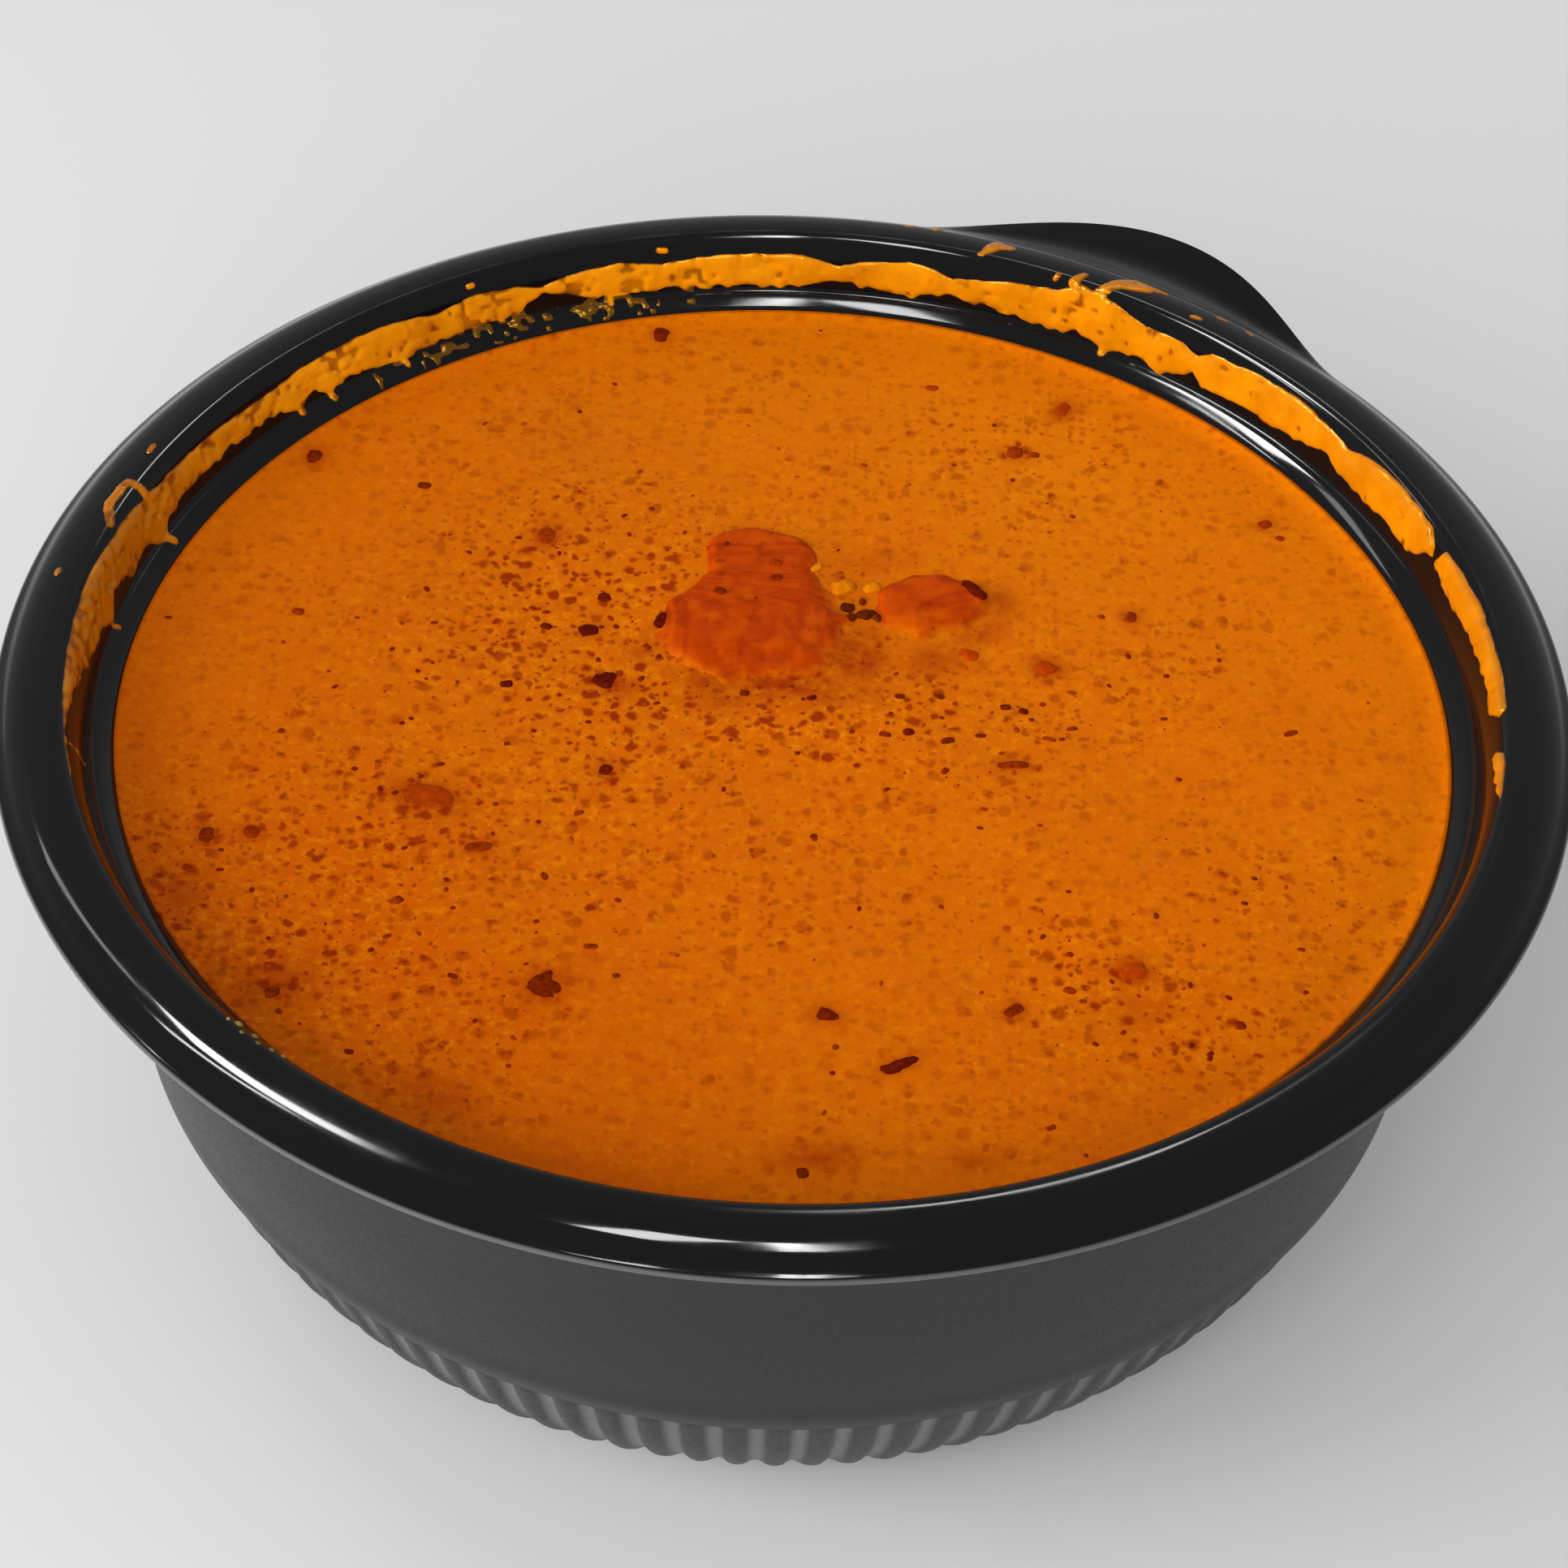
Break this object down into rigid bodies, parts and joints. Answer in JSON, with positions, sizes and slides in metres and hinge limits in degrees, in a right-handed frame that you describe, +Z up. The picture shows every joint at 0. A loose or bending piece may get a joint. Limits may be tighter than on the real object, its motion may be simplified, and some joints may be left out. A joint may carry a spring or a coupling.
{
  "type": "bowl of lamb curry",
  "caption": "Round black takeaway bowl with a fluted lower wall, a rolled rim and a grip tab, filled almost to the rim with smooth orange lamb curry.",
  "frame": {"origin": "centre of the bowl's flat base, on the surface that it stands on", "axes": "+Z up along the bowl's axis, out of its mouth; +Y away from the viewer of the picture; +X to the viewer's right, with the grip tab at 61 degrees from +X towards +Y"},
  "size_m": [0.186, 0.1871, 0.07],
  "materials": {
    "bowl_plastic": "moulded polypropylene, black: glossy rim and inside, satin outer wall and flutes",
    "curry_sauce": "wet, oily orange curry sauce with dark specks of spice",
    "lamb": "braised lamb under a film of sauce, wet and fibrous"
  },
  "bodies": {
    "root": {"bowl": "bowl_plastic", "curry": "curry_sauce", "lamb_piece_large": "lamb", "lamb_piece_small": "lamb"}
  },
  "joints": []
}
